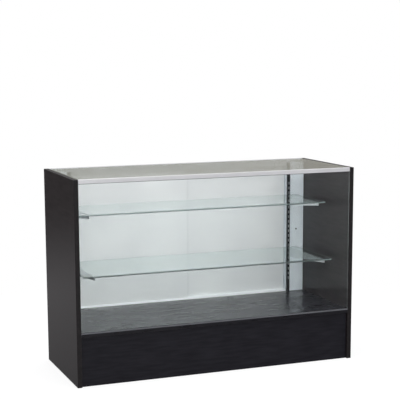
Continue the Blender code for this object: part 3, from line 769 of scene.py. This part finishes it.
# %% [markdown]
# ## Three kinds of ray
# A product picture stands on white. Turning the lamps up until the floor burns
# out would burn the doors out too. Instead the floor and the world answer each
# kind of ray in its own way. Straight rays come from the camera, also through
# glass, and meet white. Mirrored rays have left metal or glass and were not
# scattered yet: they meet a grey room, which gives the glass top its tone. All
# others were scattered by some surface and gather its light, so they meet the
# plain room. The Light Path node tells the kinds apart. It can't be exported
# from inside a group, so a helper puts it into each tree that needs it.

# %% Kinds of ray


def ray_kinds(tree):
    """Two values of 0 or 1: straight from the camera, and not yet scattered."""
    rays = node(tree, "LightPath").outputs
    unscattered = sums(tree, "LESS_THAN", rays["Diffuse Depth"], 0.5)
    unmirrored = sums(tree, "LESS_THAN", rays["Glossy Depth"], 0.5)
    clean = times(tree, unscattered, unmirrored)
    through_glass = times(tree, rays["Is Transmission Ray"], clean)
    return sums(tree, "MAXIMUM", rays["Is Camera Ray"], through_glass), unscattered


# %% [markdown]
# ## The room round the case
# The world stands in for the room. It is white to straight rays, so no backdrop
# is needed, and one soft grey to scattered rays, so nothing tints the case. To
# mirrored rays it has directions: dark behind the camera, a warm middle grey
# ahead and to the right, and a bright ceiling. Generated coordinates give the
# direction of a ray in the world, and ramps turn them into soft borders.

# %% World
WHITE = (1.0, 1.0, 1.0, 1.0)
PLAIN_ROOM = (0.50, 0.51, 0.525, 1.0)
ROOM_BEHIND = (0.08, 0.08, 0.085, 1.0)
ROOM_AHEAD = (0.36, 0.36, 0.32, 1.0)
ROOM_RIGHT = (0.38, 0.37, 0.33, 1.0)
CEILING = (0.75, 0.76, 0.78, 1.0)
TURNS_AHEAD, TURNS_RIGHT, TURNS_UP = (-0.3, 0.3), (0.30, 0.46), (0.15, 0.75)

world = bpy.data.worlds.new("studio")
bpy.context.scene.world = world
world.use_nodes = True
tree = world.node_tree
straight, unscattered = ray_kinds(tree)
towards = coordinates(tree, "Generated")
forward = blend(tree, ramp(tree, towards[0], *TURNS_RIGHT), ROOM_AHEAD, ROOM_RIGHT)
level = blend(tree, ramp(tree, towards[1], *TURNS_AHEAD), ROOM_BEHIND, forward)
mirrored = blend(tree, ramp(tree, towards[2], *TURNS_UP), level, CEILING)
room = blend(tree, unscattered, PLAIN_ROOM, mirrored)
background = tree.nodes["Background"]
connect(tree, background.inputs["Color"], blend(tree, straight, room, WHITE))
background.inputs["Strength"].default_value = 1.0
print("world nodes:", len(tree.nodes))

# %% [markdown]
# ## The floor
# One large square is the floor, and it answers the same three kinds of ray. To
# scattered rays it is a matt grey. To mirrored rays it is dark in front, paler
# behind the case and dark again far off, so that what the glass mirrors isn't
# one flat tone. To straight rays it is nearly all light of its own. Near the
# case it keeps a share of its real shading, and with it the shadow at the foot.
# That share fades with the distance, because otherwise the lamps would show on
# the white as pools.

# %% Floor
FLOOR_REACH = 30.0
MATT_GREY = (0.5, 0.5, 0.5, 1.0)
FLOOR_IN_FRONT = (0.06, 0.06, 0.065, 1.0)
FLOOR_BEHIND = (0.38, 0.37, 0.38, 1.0)
FLOOR_FAR_OFF = (0.08, 0.07, 0.075, 1.0)
FRONT_TO_BEHIND, BEHIND_TO_FAR_OFF = (-2.5, 2.0), (2.0, 5.0)
KEPT_SHADING, SHADING_FADES = 0.24, (1.2, 2.0)
OPEN_FLOOR_LIGHT = 0.70

shape = bmesh.new()
bmesh.ops.create_grid(shape, x_segments=1, y_segments=1, size=FLOOR_REACH)
floor = placed(shape, "floor")
material = bpy.data.materials.new("pale_floor")
material.use_nodes = True
tree = material.node_tree
tree.nodes.clear()
straight, unscattered = ray_kinds(tree)
along = coordinates(tree)[1]
near_greys = blend(tree, ramp(tree, along, *FRONT_TO_BEHIND), FLOOR_IN_FRONT, FLOOR_BEHIND)
greys = blend(tree, ramp(tree, along, *BEHIND_TO_FAR_OFF), near_greys, FLOOR_FAR_OFF)
mirrored = node(tree, "Emission", {"Color": greys}).outputs[0]
matt = node(tree, "BsdfDiffuse", {"Color": MATT_GREY}).outputs[0]
lit = node(tree, "MixShader", {0: unscattered, 1: matt, 2: mirrored}).outputs[0]
from_case = vector_sums(tree, "LENGTH", node(tree, "TexCoord").outputs["Object"])
kept = ramp(tree, from_case, *SHADING_FADES, KEPT_SHADING, 0.0)
shadowed = node(tree, "BsdfDiffuse", {"Color": kept}).outputs[0]
strength = sums(tree, "MULTIPLY_ADD", kept, -OPEN_FLOOR_LIGHT, 1.0)
bright = node(tree, "Emission", {"Color": WHITE, "Strength": strength}).outputs[0]
pale = node(tree, "AddShader", {0: shadowed, 1: bright}).outputs[0]
either = node(tree, "MixShader", {0: straight, 1: lit, 2: pale}).outputs[0]
node(tree, "OutputMaterial", {"Surface": either})
floor.data.materials.append(material)
print("floor:", 2 * FLOOR_REACH, "m square")

# %% [markdown]
# ## The lamps
# Four large soft lamps light the case, as diffusers do in a studio: one
# overhead, one high on the right, one high in front, and one low in front that
# looks in through the front glass. A wide lamp gives soft shade and no hard
# glints. The high front lamp would be mirrored by the glass top and the shelves
# towards anyone behind the case, as a burned-out patch that looks like missing
# glass. So it is hidden from mirror rays, and multiple importance sampling,
# which counts such rays when they meet a lamp, is off for it as well.

# %% Lamps


def softbox(name, at, towards, width, height, power):
    """A rectangular soft lamp that looks at a point."""
    lamp = bpy.data.lights.new(name, "AREA")
    lamp.shape = "RECTANGLE"
    lamp.size = width
    lamp.size_y = height
    lamp.energy = power
    made = bpy.data.objects.new(name, lamp)
    made.location = at
    made.rotation_euler = (Vector(towards) - Vector(at)).to_track_quat("-Z", "Y").to_euler()
    bpy.context.scene.collection.objects.link(made)
    print("lamp:", name, power, "W")
    return made


MIDDLE, ABOVE_MIDDLE = (0.0, 0.0, 0.5), (0.0, 0.0, 0.6)
softbox("overhead", (-0.5, 0.3, 3.2), MIDDLE, width=3.2, height=2.0, power=62.0)
softbox("side", (3.0, -1.0, 3.4), ABOVE_MIDDLE, width=1.6, height=1.6, power=38.0)
front = softbox("front", (2.0, -4.6, 2.6), ABOVE_MIDDLE, width=1.8, height=1.6, power=38.5)
front.visible_glossy = False
front.data.cycles.use_multiple_importance_sampling = False
softbox("low", (0.0, -5.0, 0.9), MIDDLE, width=2.4, height=0.8, power=49.0)

# %% [markdown]
# ## Camera
# The camera stands to the left of the case, a little above it, and looks down
# at it. A long lens keeps the uprights nearly parallel. The small upward shift
# frames the case in the lower part of a square picture, as a view camera would.
# Its turn, tilt and roll are written apart and multiplied in that order, since
# that is how one sets a tripod.

# %% Camera
CAMERA_PLACE = (-2.0627, -5.3157, 1.5435)
CAMERA_TURN = math.radians(21.250)
CAMERA_TILT = math.radians(9.331)
CAMERA_ROLL = math.radians(-0.264)
lens = bpy.data.cameras.new("camera")
lens.lens = 104.81
lens.sensor_width = 36.0
lens.shift_y = 0.10
camera = bpy.data.objects.new("camera", lens)
camera.matrix_world = (
    Matrix.Translation(CAMERA_PLACE)
    @ Matrix.Rotation(-CAMERA_TURN, 4, "Z")
    @ Matrix.Rotation(math.pi / 2 - CAMERA_TILT, 4, "X")
    @ Matrix.Rotation(CAMERA_ROLL, 4, "Z")
)
bpy.context.scene.collection.objects.link(camera)
bpy.context.scene.camera = camera
bpy.context.scene.view_settings.view_transform = "Standard"
print("camera:", round(Vector(CAMERA_PLACE).length, 2), "m from the case")
